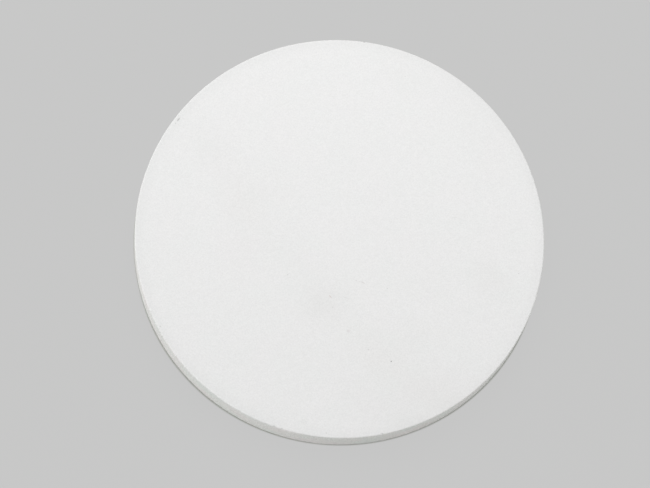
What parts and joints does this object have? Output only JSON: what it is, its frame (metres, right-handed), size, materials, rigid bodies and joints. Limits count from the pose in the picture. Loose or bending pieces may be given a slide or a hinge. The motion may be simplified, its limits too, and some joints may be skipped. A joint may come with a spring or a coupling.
{
  "type": "sputtering target",
  "caption": "Round planar sputtering target: a bare disc of white alumina ceramic, ground flat, that is clamped or bonded to a magnetron cathode.",
  "frame": {"origin": "centre of the back face, at the bottom of the disc's box", "axes": "+Z along the disc's axis, out of the face that is sputtered; +X and +Y lie in the back face, towards the right and the top of the reference view"},
  "size_m": [0.0762, 0.0762, 0.0063],
  "materials": {
    "alumina": "matte, ground and lapped"
  },
  "bodies": {
    "root": {"target_disc": "alumina"}
  },
  "joints": []
}
